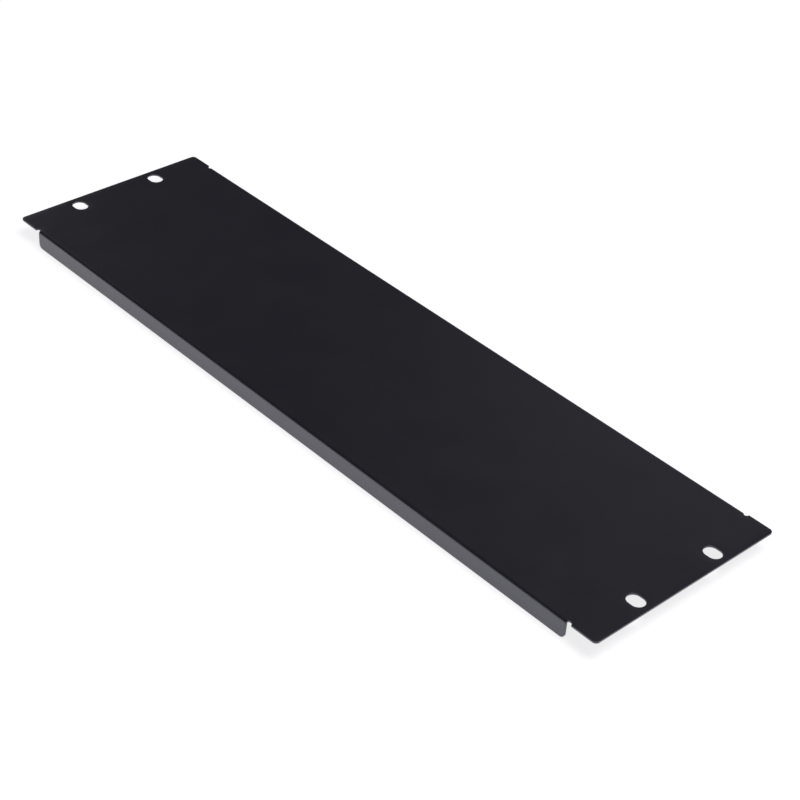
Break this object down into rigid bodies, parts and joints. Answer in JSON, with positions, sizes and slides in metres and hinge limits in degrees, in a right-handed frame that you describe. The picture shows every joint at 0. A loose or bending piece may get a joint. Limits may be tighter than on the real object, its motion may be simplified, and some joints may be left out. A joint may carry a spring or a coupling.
{
  "type": "rack blanking panel",
  "caption": "Black folded sheet-steel blanking panel for a 19 inch rack, three spaces high, with folded-back long edges and oblong screw slots in its ears.",
  "frame": {"origin": "centre of the four screw slots, on the ears' rear seating face", "axes": "+X across the rack, +Y up the rack, +Z out of the front face"},
  "size_m": [0.4826, 0.1324, 0.0115],
  "materials": {
    "black_powder_coat": "fine satin powder coat on steel"
  },
  "bodies": {
    "root": {"blanking_panel": "black_powder_coat"}
  },
  "joints": []
}
